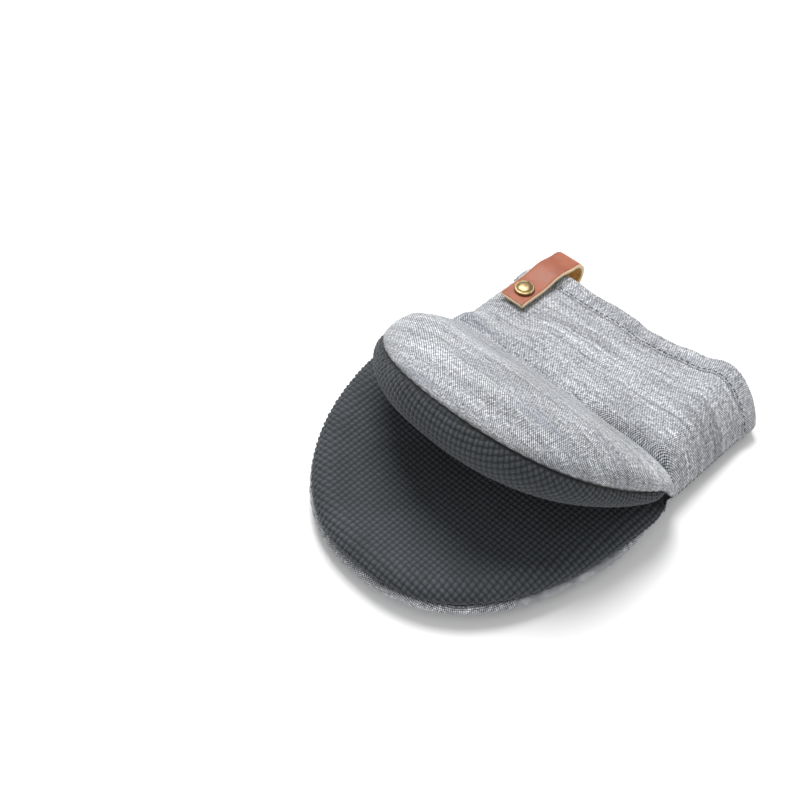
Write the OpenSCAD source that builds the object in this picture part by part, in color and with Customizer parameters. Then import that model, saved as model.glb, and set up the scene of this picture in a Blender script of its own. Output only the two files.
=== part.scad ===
// Two-pocket kitchen mitt: a finger pocket and a thumb pocket that fold on each other like a
// mouth, with a textured grip between them, a bound cuff and a riveted leather hanging loop.
// Millimetres. X runs across the mitt, +Y towards the cuff, +Z up, and it lies on z = 0.

/* [Mitt] */
// Width across the two pockets, seam to seam
mitt_w = 140; // [130:1:150]
// Length of the finger pocket, from the palm fold to the fingertip seam
finger_len = 109; // [100:1:118]
// Length of the thumb pocket, from the palm fold to the thumb tip seam
thumb_len = 80; // [72:1:86]
// Length of the cuff, from the palm fold to the bound edge
cuff_len = 76; // [72:1:84]
// Angle between the two pockets as the mitt lies open
mouth_angle = 28; // [26:1:30]
// Squareness of the pocket outlines: 2 is an ellipse
outline_power = 2.35; // [2.1:0.05:2.6]

/* [Layers] */
// Thickness of the outer cloth
shell_t = 0.9; // [0.8:0.1:1.2]
// Thickness of the heat batting
batting_t = 1.5; // [1.3:0.1:1.8]
// Thickness of the lining cloth
lining_t = 0.6; // [0.4:0.1:0.6]
// Thickness of the textured grip
grip_t = 2.1; // [1.8:0.1:2.4]
// Width of the binding on the cuff edge
binding_w = 10; // [8:1:12]

/* [Hanging loop] */
// Width of the leather strap
strap_w = 14; // [12:1:14]
// Thickness of the leather strap
strap_t = 2; // [1.6:0.1:2.2]
// Distance of the strap's middle from the mitt's middle
strap_x = 55; // [54:0.5:56]
// Middle radius of the loop that stands out of the cuff
loop_r = 7; // [6.5:0.5:7.5]
// Diameter of the rivet's cap
rivet_cap_d = 10; // [9:0.5:11]
// Diameter of the rivet's post
rivet_post_d = 3.2; // [3:0.1:3.6]

/* [Hidden] */

// Depths below the outer face at which each layer starts and ends.
ply_gap = 0.05;
shell_ply = [0, shell_t];
batting_ply = [shell_t + ply_gap, shell_t + batting_t];
lining_ply = [shell_t + batting_t + ply_gap, shell_t + batting_t + lining_t];
grip_ply = [0, grip_t];
palm_lining_ply = [grip_t + ply_gap, grip_t + lining_t];
wall_t = shell_t + batting_t + lining_t;

half_w = mitt_w / 2;
cuff_half_w = half_w - 3;
fold_z = 13;          // height of the palm fold, which both pockets turn on
fold_r = 2.2;         // radius of the folded grip
fold_half_w = cuff_half_w - wall_t - 0.8;   // it ends inside the cuff's lining
seam_gap = 0.6;       // between the two edges that a seam joins
pocket_gap = 0.5;     // between a pocket's back edge and the cuff
finger_bulge = 3.5;   // how far the finger pocket's back bulges out past its seam
loop_y = cuff_len + 5;                        // middle of the loop, from the fold
loop_end = loop_y + loop_r + strap_t / 2;     // how far the loop reaches from the fold
fold_y = (finger_len + finger_bulge - loop_end) / 2;   // the origin is half way along

finger_seam_z = 9;    // height of the finger pocket's seam
finger_turn = 10;     // width of its turned edge
finger_round = 5.5;   // height of the middle of that bulge
finger_curl = 8;      // how far its left side curls up
finger_lean = 8;      // angle by which its back edge leans forward
grip_top_z = 12.4;    // height of the grip beside the fold

thumb_back_n = 16;    // thickness of the thumb pocket at its back
thumb_dome_n = 11;    // how much thicker it is in the middle
thumb_palm_n = 0.8;   // its grip's distance from the fold's plane
thumb_half_w = half_w - 3;   // its seam lies inside the finger pocket's
thumb_turn = 14;      // width of the grip's turned edge
thumb_lean = 17;      // angle by which its back edge leans forward of upright

cuff_seam_z = 8.7;    // height of the cuff's side seams
cuff_turn = 8;        // width of the cuff's turned edges
cuff_start = 1.2;     // where the cuff starts, behind the fold
corner_lift = 5.5;    // how far the riveted corner stands up
corner_gap = 1;       // between the two linings there
corner_back = 8;      // how far the bound edge's corners draw back
binding_lift = 1.6;   // how far the bound edge stands up
mouth_z = 13.8;       // height of the bound edge
mouth_hump = 8;       // how much higher it is at its hump
binding_t = 0.9;

across = 26;          // steps round a pocket
spread = [for (i = [0 : across]) -90 + 180 * i / across];
reds = [1, 0.99, 0.96, 0.9, 0.8, 0.65, 0.45, 0.22];   // rings from the seam to the fold

function mix(a, b, k) = a + (b - a) * k;
function unit(k) = max(0, min(1, k));
function smooth(k) = let (c = unit(k)) c * c * (3 - 2 * c);
function flat_list(rows) = [for (row = rows) each row];

// ---- Outlines ----------------------------------------------------------------------------

// Point of a half superellipse, from its right end (t = 90) round the tip (t = 0).
function rim(t, w, len) = [
  w * sign(sin(t)) * pow(abs(sin(t)), 2 / outline_power),
  -len * pow(abs(cos(t)), 2 / outline_power)
];
// Its outward normal.
function rim_normal(t, w, len) =
  let (
    p = rim(t, w, len),
    g = [
      sign(p.x) * pow(abs(p.x) / w, outline_power - 1) / w,
      -pow(abs(p.y) / len, outline_power - 1) / len
    ]
  ) g / norm(g);
function inset(t, w, len, d) = rim(t, w, len) - d * rim_normal(t, w, len);

// ---- Solids from two faces ---------------------------------------------------------------

// Closed solid between two fans of rows that share a middle point. top is the face seen from
// outside when the rows run inwards and the columns anticlockwise.
module fan_solid(top, bottom, top_mid, bottom_mid) {
  rows = len(top);
  cols = len(top[0]);
  n = rows * cols;
  m = 2 * n;
  function at(r, c) = r * cols + c;
  faces = [
    for (r = [0 : rows - 2], c = [0 : cols - 2]) each [
      [at(r, c), at(r + 1, c), at(r + 1, c + 1)],
      [at(r, c), at(r + 1, c + 1), at(r, c + 1)],
      [n + at(r, c), n + at(r + 1, c + 1), n + at(r + 1, c)],
      [n + at(r, c), n + at(r, c + 1), n + at(r + 1, c + 1)]
    ],
    for (c = [0 : cols - 2]) each [
      [at(rows - 1, c), m, at(rows - 1, c + 1)],
      [n + at(rows - 1, c), n + at(rows - 1, c + 1), m + 1],
      [at(0, c), at(0, c + 1), n + at(0, c + 1)],
      [at(0, c), n + at(0, c + 1), n + at(0, c)]
    ],
    for (r = [0 : rows - 2]) each [
      [at(r, 0), n + at(r, 0), n + at(r + 1, 0)],
      [at(r, 0), n + at(r + 1, 0), at(r + 1, 0)],
      [at(r, cols - 1), n + at(r + 1, cols - 1), n + at(r, cols - 1)],
      [at(r, cols - 1), at(r + 1, cols - 1), n + at(r + 1, cols - 1)]
    ],
    [at(rows - 1, 0), n + at(rows - 1, 0), m + 1],
    [at(rows - 1, 0), m + 1, m],
    [at(rows - 1, cols - 1), m + 1, n + at(rows - 1, cols - 1)],
    [at(rows - 1, cols - 1), m, m + 1]
  ];
  polyhedron(concat(flat_list(top), flat_list(bottom), [top_mid, bottom_mid]), faces);
}

// Closed solid between two grids of points with the same rows and columns.
module grid_solid(top, bottom) {
  rows = len(top);
  cols = len(top[0]);
  n = rows * cols;
  function at(r, c) = r * cols + c;
  faces = [
    for (r = [0 : rows - 2], c = [0 : cols - 2]) each [
      [at(r, c), at(r + 1, c), at(r + 1, c + 1)],
      [at(r, c), at(r + 1, c + 1), at(r, c + 1)],
      [n + at(r, c), n + at(r + 1, c + 1), n + at(r + 1, c)],
      [n + at(r, c), n + at(r, c + 1), n + at(r + 1, c + 1)]
    ],
    for (c = [0 : cols - 2]) each [
      [at(0, c), at(0, c + 1), n + at(0, c + 1)],
      [at(0, c), n + at(0, c + 1), n + at(0, c)],
      [at(rows - 1, c), n + at(rows - 1, c + 1), at(rows - 1, c + 1)],
      [at(rows - 1, c), n + at(rows - 1, c), n + at(rows - 1, c + 1)]
    ],
    for (r = [0 : rows - 2]) each [
      [at(r, 0), n + at(r, 0), n + at(r + 1, 0)],
      [at(r, 0), n + at(r + 1, 0), at(r + 1, 0)],
      [at(r, cols - 1), n + at(r + 1, cols - 1), n + at(r, cols - 1)],
      [at(r, cols - 1), at(r + 1, cols - 1), n + at(r + 1, cols - 1)]
    ]
  ];
  polyhedron(concat(flat_list(top), flat_list(bottom)), faces);
}

// A row of stitches laid end to end along a line of points, one thread apart.
module stitches(line, thread_d = 0.5, share = 0.62) {
  for (i = [0 : len(line) - 2]) {
    run = line[i + 1] - line[i];
    span = norm(run);
    translate(line[i] + run * (1 - share) / 2)
      rotate([0, acos(run.z / span), atan2(run.y, run.x)])
        cylinder(h = span * share, d = thread_d, $fn = 24);
  }
}

// ---- Finger pocket -----------------------------------------------------------------------

// The left side curls up off the table, between the fold and the tip.
function curl(p) =
  finger_curl * pow(unit((-p.x / half_w - 0.5) / 0.5), 2) * smooth(-p.y / 30);

// A point of the back's face at one depth: it bulges out under the seam, turns in and then
// runs flat.
function finger_back_point(t, k, depth) =
  let (
    start = asin((finger_seam_z - finger_round) / finger_round),
    bend = mix(-start, 90, unit((1 - k) / 0.35)),
    bulge = finger_bulge * pow(abs(cos(t)), 0.4),
    d = finger_turn - (finger_turn + bulge - depth) * cos(bend),
    edge = inset(t, half_w, finger_len, d),
    inner = inset(t, half_w, finger_len, finger_turn),
    p = k > 0.65 ? edge : inner * k / 0.65,
    z = finger_round - (finger_round - depth) * sin(bend)
  ) finger_place(p, z);

// A point of the grip's face: it rolls over from the seam and dips in the middle.
function finger_palm_point(t, k, depth) =
  let (
    bend = unit((1 - k) / 0.35) * 90,
    d = finger_turn - (finger_turn - depth) * cos(bend),
    edge = inset(t, half_w, finger_len, d),
    inner = inset(t, half_w, finger_len, finger_turn),
    p = k > 0.65 ? edge : inner * k / 0.65,
    start = finger_seam_z + seam_gap,
    crown = grip_top_z + 3.4 * pow(abs(cos(t)), 0.7) * k,
    z = start + (crown - start - depth) * sin(bend)
  ) finger_place(p, z, fold_r + 0.4);

// Puts a point of the finger pocket in front of the fold. The back edge leans forward, so
// that the pocket can turn, and the rest closes up evenly towards the tip.
function finger_place(p, z, clear = 0) =
  let (
    back = pocket_gap + max(clear, (fold_z - z) * tan(finger_lean)),
    y = p.y * (1 - back / finger_len) - back
  ) [p.x, fold_y + y, z + curl([p.x, y])];

// The rows of one face, from the seam inwards. The turned edge takes the first rows.
ring_ks = [1, 0.965, 0.93, 0.88, 0.81, 0.65, 0.45, 0.22];

module finger_back_layer(ply) {
  rows = [for (k = ring_ks) [for (t = spread) finger_back_point(t, k, ply[1])]];
  outer = [for (k = ring_ks) [for (t = spread) finger_back_point(t, k, ply[0])]];
  fan_solid(rows, outer, finger_place([0, 0], ply[1]), finger_place([0, 0], ply[0]));
}

module finger_palm_layer(ply) {
  outer = [for (k = ring_ks) [for (t = spread) finger_palm_point(t, k, ply[0])]];
  inner = [for (k = ring_ks) [for (t = spread) finger_palm_point(t, k, ply[1])]];
  clear = fold_r + 0.4;
  fan_solid(outer, inner, finger_place([0, 0], grip_top_z - ply[0], clear),
            finger_place([0, 0], grip_top_z - ply[1], clear));
}

module finger_shell() color([0.52, 0.54, 0.57]) finger_back_layer(shell_ply);
module finger_batting() color([0.93, 0.92, 0.88]) finger_back_layer(batting_ply);
module finger_lining() color([0.78, 0.78, 0.77]) finger_back_layer(lining_ply);
module finger_grip() color([0.17, 0.18, 0.19]) finger_palm_layer(grip_ply);
module finger_palm_lining() color([0.78, 0.78, 0.77]) finger_palm_layer(palm_lining_ply);

// The seam's line is straight between the cloth's own corner points.
module finger_seam_stitches() {
  line = [
    for (t = spread)
      finger_place(inset(t, half_w, finger_len, 0.25), finger_seam_z + seam_gap / 2)
  ];
  color([0.1, 0.1, 0.11])
    stitches([
      for (i = [0 : 44])
        let (s = across * (90 - 80 + 160 * i / 44) / 180, c = floor(s))
        mix(line[c], line[c + 1], s - c)
    ], 0.3);
}

// ---- Thumb pocket ------------------------------------------------------------------------

// It is made flat, with its palm down and the fold at the origin, and then tilted open.
module thumb_place()
  translate([0, fold_y, fold_z]) rotate([-mouth_angle, 0, 0]) children();

// Height of the thumb pocket's seam, highest at the tip.
function thumb_seam_n(t) = 7 + 12 * abs(cos(t));

// The back edge leans forward, which leaves room for the pocket to open, and the rest closes
// up evenly towards the tip.
function thumb_spot(p, n, clear = 0) =
  let (back = pocket_gap + max(clear, n * tan(mouth_angle + thumb_lean)))
  [p.x, -back + p.y * (1 - back / thumb_len), n];

function thumb_dome_point(t, k, depth) =
  let (
    round_off = sqrt(1 - pow(k, 4)),
    p = inset(t, thumb_half_w, thumb_len, depth) * k,
    seam = thumb_seam_n(t) + seam_gap / 2,
    belly = thumb_dome_n * pow(abs(cos(t)), 0.5) * sin(90 * unit(k / 0.45)),
    n = seam + (thumb_back_n - seam + belly - depth) * round_off
  ) thumb_spot(p, n);

function thumb_palm_point(t, k, depth) =
  let (
    bend = unit((1 - k) / 0.35) * 90,
    d = thumb_turn - (thumb_turn - depth) * cos(bend),
    edge = inset(t, thumb_half_w, thumb_len, d),
    inner = inset(t, thumb_half_w, thumb_len, thumb_turn),
    p = k > 0.65 ? edge : inner * k / 0.65,
    seam = thumb_seam_n(t) - seam_gap / 2,
    n = seam - (seam - thumb_palm_n - depth) * sin(bend)
  ) thumb_spot(p, n, fold_r + 0.9);

module thumb_dome_layer(ply) {
  outer = [for (k = reds) [for (t = spread) thumb_dome_point(t, k, ply[0])]];
  inner = [for (k = reds) [for (t = spread) thumb_dome_point(t, k, ply[1])]];
  thumb_place() fan_solid(outer, inner, thumb_dome_point(0, 0, ply[0]),
                          thumb_dome_point(0, 0, ply[1]));
}

module thumb_palm_layer(ply) {
  inner = [for (k = ring_ks) [for (t = spread) thumb_palm_point(t, k, ply[1])]];
  outer = [for (k = ring_ks) [for (t = spread) thumb_palm_point(t, k, ply[0])]];
  thumb_place() fan_solid(inner, outer, thumb_palm_point(0, 0, ply[1]),
                          thumb_palm_point(0, 0, ply[0]));
}

module thumb_shell() color([0.62, 0.64, 0.67]) thumb_dome_layer(shell_ply);
module thumb_batting() color([0.93, 0.92, 0.88]) thumb_dome_layer(batting_ply);
module thumb_lining() color([0.78, 0.78, 0.77]) thumb_dome_layer(lining_ply);
module thumb_grip() color([0.17, 0.18, 0.19]) thumb_palm_layer(grip_ply);
module thumb_palm_lining() color([0.78, 0.78, 0.77]) thumb_palm_layer(palm_lining_ply);

module thumb_seam_stitches()
  color([0.1, 0.1, 0.11])
    thumb_place() stitches([
      for (i = [0 : 36])
        let (t = -74 + 148 * i / 36, p = inset(t, thumb_half_w, thumb_len, 0.5))
        thumb_spot(p, thumb_seam_n(t))
    ], 0.4);

// ---- Cuff --------------------------------------------------------------------------------

// Places across the cuff, and how far round the turned edge each one is.
cuff_turns = [0, 25, 50, 70, 90];
cuff_flat_x = [-46, -39, -32, -26, -20, -6, 8, 20, 30, 40, 50];
cuff_columns = concat(
  [for (a = cuff_turns) [-1, a, 0]],
  [for (x = cuff_flat_x) [0, 90, x]],
  [for (i = [len(cuff_turns) - 1 : -1 : 0]) [1, cuff_turns[i], 0]]
);
binding_start = cuff_len - binding_w;
cuff_rows = [cuff_start, 8, 20, 30, 40, 50, 58, 64, binding_start, cuff_len - binding_t - 0.1];

function cuff_x(col, depth) = col[0] == 0 ? col[2]
  : col[0] * (cuff_half_w - cuff_turn + (cuff_turn - depth) * cos(col[1]));

// The riveted corner stands up off the table, and so does the bound edge. The top falls
// from the thumb pocket to the bound edge, which has a hump near its right end.
function at_corner(x, y) = smooth((-20 - x) / 26) * smooth((y - 10) / 30);
function cuff_floor(x, y) =
  max(corner_lift * at_corner(x, y), binding_lift * unit((y - 56) / 8)) - spread_apart(x, y);
// The two sides stand a little further apart where the binding wraps their edges.
function spread_apart(x, y) = binding_t * at_corner(x, y) * unit((y - 58) / 6);
function hump(x) = pow(cos(90 * min(1, abs(x - 47) / 36)), 2);
function cuff_ceiling(x, y) =
  let (
    along = smooth(y / cuff_len),
    free = mix(thumb_back_n + fold_z - 2, mouth_z + mouth_hump * hump(x), along)
  ) mix(free, corner_lift + 2 * wall_t + corner_gap, at_corner(x, y)) + spread_apart(x, y);

// The bound edge draws back towards its corners.
function cuff_y(x, y) =
  fold_y + y * (1 - corner_back / cuff_len * pow(unit((abs(x) - 45) / 22), 2));

function cuff_back_point(col, y, depth) =
  let (x = cuff_x(col, depth), low = cuff_floor(x, y))
  [x, cuff_y(x, y), cuff_seam_z - (cuff_seam_z - low - depth) * sin(col[1])];
function cuff_top_point(col, y, depth) =
  let (x = cuff_x(col, depth), start = cuff_seam_z + seam_gap)
  [x, cuff_y(x, y), start + (cuff_ceiling(x, y) - start - depth) * sin(col[1])];

// The rivet goes through the strap, both sides of the cuff and the strap again. The strap
// can turn on it.
module rivet_hole()
  translate([-strap_x, fold_y + rivet_y, -1])
    cylinder(h = 30, d = rivet_post_d + 2 * post_clearance, $fn = 32);

module cuff_back_layer(ply)
  difference() {
    grid_solid(
      [for (y = cuff_rows) [for (c = cuff_columns) cuff_back_point(c, y, ply[1])]],
      [for (y = cuff_rows) [for (c = cuff_columns) cuff_back_point(c, y, ply[0])]]
    );
    rivet_hole();
  }

module cuff_top_layer(ply)
  difference() {
    grid_solid(
      [for (y = cuff_rows) [for (c = cuff_columns) cuff_top_point(c, y, ply[0])]],
      [for (y = cuff_rows) [for (c = cuff_columns) cuff_top_point(c, y, ply[1])]]
    );
    rivet_hole();
  }

module cuff_back_shell() color([0.52, 0.54, 0.57]) cuff_back_layer(shell_ply);
module cuff_back_batting() color([0.93, 0.92, 0.88]) cuff_back_layer(batting_ply);
module cuff_back_lining() color([0.78, 0.78, 0.77]) cuff_back_layer(lining_ply);
module cuff_top_shell() color([0.62, 0.64, 0.67]) cuff_top_layer(shell_ply);
module cuff_top_batting() color([0.93, 0.92, 0.88]) cuff_top_layer(batting_ply);
module cuff_top_lining() color([0.78, 0.78, 0.77]) cuff_top_layer(lining_ply);

// The grip's fold, which runs across the mitt and which both pockets turn on.
module palm_fold()
  color([0.17, 0.18, 0.19])
    translate([-fold_half_w, fold_y, fold_z])
      rotate([0, 90, 0]) cylinder(h = 2 * fold_half_w, r = fold_r, $fn = 48);

// ---- Binding -----------------------------------------------------------------------------

// The binding's section, as [distance along the cuff, depth] round a U over the cut edges.
binding_u = let (near = binding_start, far = cuff_len, clear = 0.1) [
  [near, -binding_t], [far, -binding_t], [far, wall_t + binding_t], [near, wall_t + binding_t],
  [near, wall_t + clear], [far - binding_t, wall_t + clear], [far - binding_t, -clear],
  [near, -clear]
];

module bound(sections, flip) {
  cols = len(sections);
  m = len(sections[0]);
  function turn(f) = flip ? [f[2], f[1], f[0]] : f;
  faces = [
    for (c = [0 : cols - 2], i = [0 : m - 1])
      let (a = c * m + i, b = c * m + (i + 1) % m)
      each (i == m - 2
        ? [turn([a, b, a + m]), turn([b, b + m, a + m])]
        : [turn([a, b, b + m]), turn([a, b + m, a + m])]),
    for (q = [[0, 1, 6, 7], [1, 2, 5, 6], [2, 3, 4, 5]]) each [
      turn([q[2], q[1], q[0]]),
      turn([q[3], q[2], q[0]]),
      turn([(cols - 1) * m + q[0], (cols - 1) * m + q[1], (cols - 1) * m + q[2]]),
      turn([(cols - 1) * m + q[0], (cols - 1) * m + q[2], (cols - 1) * m + q[3]])
    ]
  ];
  polyhedron(flat_list(sections), faces);
}

module binding_back()
  color([0.45, 0.47, 0.5])
    bound([for (c = cuff_columns) [for (u = binding_u) cuff_back_point(c, u[0], u[1])]], true);

module binding_top()
  color([0.45, 0.47, 0.5])
    bound([for (c = cuff_columns) [for (u = binding_u) cuff_top_point(c, u[0], u[1])]], false);

// One row of stitches along each half of the binding, stopping short of the strap.
module binding_stitches() {
  depth = -binding_t - 0.42;
  share = 1.5 / binding_w;
  columns = [for (x = concat(cuff_flat_x, [cuff_half_w - cuff_turn])) [0, 90, x]];
  function row(ends) = mix(ends[0], ends[1], share);
  color([0.2, 0.2, 0.22]) {
    stitches(along([
      for (c = columns)
        row([cuff_top_point(c, binding_start, depth), cuff_top_point(c, cuff_len, depth)])
    ]));
    stitches(along([
      for (c = columns)
        row([cuff_back_point(c, binding_start, depth), cuff_back_point(c, cuff_len, depth)])
    ]));
  }
}

// Evenly spread points on a line of points, from beside the strap to its right end.
function along(line) = [
  for (i = [0 : 21])
    let (
      x = mix(-strap_x + strap_w / 2 + 3, cuff_half_w - cuff_turn - 0.1, i / 21),
      k = [for (j = [0 : len(line) - 2]) if (line[j].x <= x && x < line[j + 1].x) j][0],
      run = line[k + 1] - line[k]
    ) line[k] + run * (x - line[k].x) / run.x
];

module side_seam_stitches()
  color([0.1, 0.1, 0.11])
    for (side = [-1, 1])
      stitches([
        for (i = [0 : 11])
          let (x = side * (cuff_half_w - 0.5))
          [x, cuff_y(x, mix(4, binding_start - 1, i / 11)), cuff_seam_z + seam_gap / 2]
      ], 0.4);

// ---- Hanging loop ------------------------------------------------------------------------

rivet_y = cuff_len - 24;                       // from the fold
strap_clearance = 0.4;                         // to the binding, above and below
post_clearance = 0.05;
strap_end = rivet_y - 9;                       // both ends of the strap
strap_bend = rivet_y + 5.2;                    // where its lower leg starts to fall
strap_fall = binding_start - 2;                // where it has fallen clear of the binding
strap_top_z = corner_lift + 2 * wall_t + corner_gap + 2 * binding_t + strap_clearance;
strap_bottom_z = corner_lift - 2 * strap_clearance - strap_t;
strap_top_mid = strap_top_z + strap_t / 2;
strap_bottom_mid = strap_bottom_z + strap_t / 2;
loop_z = strap_top_mid - loop_r;               // height of the loop's middle
loop_low_mid = loop_z - loop_r;                // where the strap comes back below the edge

// The middle line of the strap in the YZ plane: along the top, round, and back below.
strap_line = [
  [strap_end, strap_top_mid],
  for (a = [90 : -10 : -90]) [loop_y + loop_r * cos(a), loop_z + loop_r * sin(a)],
  for (k = [5 : -1 : 0]) [
    mix(strap_bend, strap_fall, k / 5),
    mix(strap_bottom_mid, loop_low_mid, smooth(k / 5))
  ],
  [strap_end, strap_bottom_mid]
];

// Both sides of a band that follows a line.
function band(line, thick) =
  let (
    last = len(line) - 1,
    off = [
      for (i = [0 : last])
        let (d = line[min(i + 1, last)] - line[max(i - 1, 0)])
        [-d.y, d.x] / norm(d) * thick / 2
    ]
  ) concat(
    [for (i = [0 : last]) line[i] + off[i]],
    [for (i = [last : -1 : 0]) line[i] - off[i]]
  );

module hanging_strap()
  color([0.76, 0.47, 0.38])
    difference() {
      translate([-strap_x - strap_w / 2, fold_y, 0])
        rotate([90, 0, 90])
          linear_extrude(height = strap_w) polygon(band(strap_line, strap_t));
      rivet_hole();
    }

// A cap with a domed face, standing on its flat side.
module cap(height) {
  dome_r = (pow(rivet_cap_d / 2, 2) + pow(height, 2)) / (2 * height);
  intersection() {
    translate([0, 0, height - dome_r]) sphere(r = dome_r, $fn = 64);
    cylinder(h = height, d = rivet_cap_d, $fn = 64);
  }
}
// The faces of the two caps, clear of the strap, and the post between them.
cap_gap = 0.2;
cap_face_z = strap_top_z + strap_t + cap_gap;
back_cap_face_z = strap_bottom_z - cap_gap;

module at_rivet(z) color([0.72, 0.6, 0.33]) translate([-strap_x, fold_y + rivet_y, z]) children();

module rivet_cap() at_rivet(cap_face_z) cap(2.2);
module rivet_back_cap() at_rivet(back_cap_face_z) mirror([0, 0, 1]) cap(1.8);
module rivet_post()
  at_rivet(back_cap_face_z) cylinder(h = cap_face_z - back_cap_face_z, d = rivet_post_d, $fn = 32);

finger_shell();
finger_batting();
finger_lining();
finger_palm_lining();
finger_grip();
finger_seam_stitches();
thumb_shell();
thumb_batting();
thumb_lining();
thumb_palm_lining();
thumb_grip();
thumb_seam_stitches();
cuff_back_shell();
cuff_back_batting();
cuff_back_lining();
cuff_top_shell();
cuff_top_batting();
cuff_top_lining();
palm_fold();
binding_back();
binding_top();
binding_stitches();
side_seam_stitches();
rivet_cap();
rivet_post();
rivet_back_cap();
hanging_strap();
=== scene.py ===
"""Looks of the two-pocket kitchen mitt: cloth panels, embossed grips, binding, seams, strap and rivet."""
import math

import bmesh
import bpy
import numpy as np
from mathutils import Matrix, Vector, kdtree, noise


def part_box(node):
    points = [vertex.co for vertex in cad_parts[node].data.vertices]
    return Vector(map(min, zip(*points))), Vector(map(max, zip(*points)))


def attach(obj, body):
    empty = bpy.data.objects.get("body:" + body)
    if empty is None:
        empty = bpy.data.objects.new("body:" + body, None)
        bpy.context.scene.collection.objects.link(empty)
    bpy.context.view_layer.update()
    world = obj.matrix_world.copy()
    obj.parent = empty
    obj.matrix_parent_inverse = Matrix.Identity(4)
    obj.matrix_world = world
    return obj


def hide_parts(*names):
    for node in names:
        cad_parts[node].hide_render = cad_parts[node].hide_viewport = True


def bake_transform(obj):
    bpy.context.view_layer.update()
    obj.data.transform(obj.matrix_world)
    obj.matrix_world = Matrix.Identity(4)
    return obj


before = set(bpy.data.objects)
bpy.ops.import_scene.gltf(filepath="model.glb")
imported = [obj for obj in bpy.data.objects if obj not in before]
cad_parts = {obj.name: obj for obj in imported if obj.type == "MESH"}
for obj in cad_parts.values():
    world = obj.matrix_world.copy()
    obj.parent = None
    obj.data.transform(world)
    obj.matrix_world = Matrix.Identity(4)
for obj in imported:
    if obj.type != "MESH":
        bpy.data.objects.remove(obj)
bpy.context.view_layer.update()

# ---- Sizes and places, in millimetres ------------------------------------------------------

MM = 0.001
LOW = {name: np.array(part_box(name)[0]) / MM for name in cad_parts}
HIGH = {name: np.array(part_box(name)[1]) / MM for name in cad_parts}

FOLD_Y = (LOW["palm_fold"][1] + HIGH["palm_fold"][1]) / 2
FOLD_Z = (LOW["palm_fold"][2] + HIGH["palm_fold"][2]) / 2
HALF_W = HIGH["finger_grip"][0]
CUFF_HALF_W = HIGH["cuff_top_shell"][0]
FINGER_LEN = FOLD_Y - LOW["finger_grip"][1]
CUFF_LEN = HIGH["binding_top"][1] - FOLD_Y
RIVET = (LOW["rivet_post"] + HIGH["rivet_post"]) / 2
STRAP_LOW, STRAP_HIGH = LOW["hanging_strap"], HIGH["hanging_strap"]

OUTLINE_POWER = 2.35
MOUTH = math.radians(28)       # angle between the two pockets
CLOSED = math.radians(20)      # the same with the thumb pocket folded down to its limit
WALL = 3.0                     # cloth, batting and lining together
GRIP_WALL = 2.4

FINGER_SEAM_Z = 9.3
FINGER_CURL = 10.0             # how far the left side of the finger pocket curls up
THUMB_HALF_W = HALF_W - 3
THUMB_LEN = 80.0
THUMB_BACK = 17.0              # thickness of the thumb pocket beside the fold
CUFF_SHIFT = 6.0               # cloth taken up in the tuck between thumb pocket and cuff
HEM = 10.0                     # width of the binding
SOFTNESS = 0.5                 # how gently the finger pad's sunk part starts
SEAM_WALL = 0.12               # share of a panel's thickness that is left at its seam
THIN_OVER = 7.0                # how far from a seam a panel reaches its full thickness
TOP_EASE, FINGER_EASE, THUMB_EASE, BACK_EASE = 7.0, 3.5, 9.0, 3.0   # flat cloth beyond each seam
CLOTH_GROOVE = math.radians(12)   # how far round each face turns in at a seam
GRIP_GROOVE = math.radians(30)

WEAVE_PITCH = 2.26             # between the ribs of the grip's basket weave
EMBOSS = 0.8                   # height of that weave
YARN_PITCH = 0.55              # between the yarns of the cloth


def unit(k):
    return np.clip(k, 0.0, 1.0)


def smooth(k):
    k = unit(k)
    return k * k * (3 - 2 * k)


def ripple(p, scale, seed):
    """Smooth noise from -1 to 1 at each row of p, with a wavelength along each axis."""
    q = np.asarray(p, float) / np.asarray(scale, float)
    return np.array([noise.noise(Vector((a, b, seed))) for a, b in q])


# ---- Outlines ------------------------------------------------------------------------------

def side_width(half_w, v):
    """Half width behind the fold, where a pocket's width runs into the cuff's."""
    return half_w + (CUFF_HALF_W - half_w) * smooth(v / 8)


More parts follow.
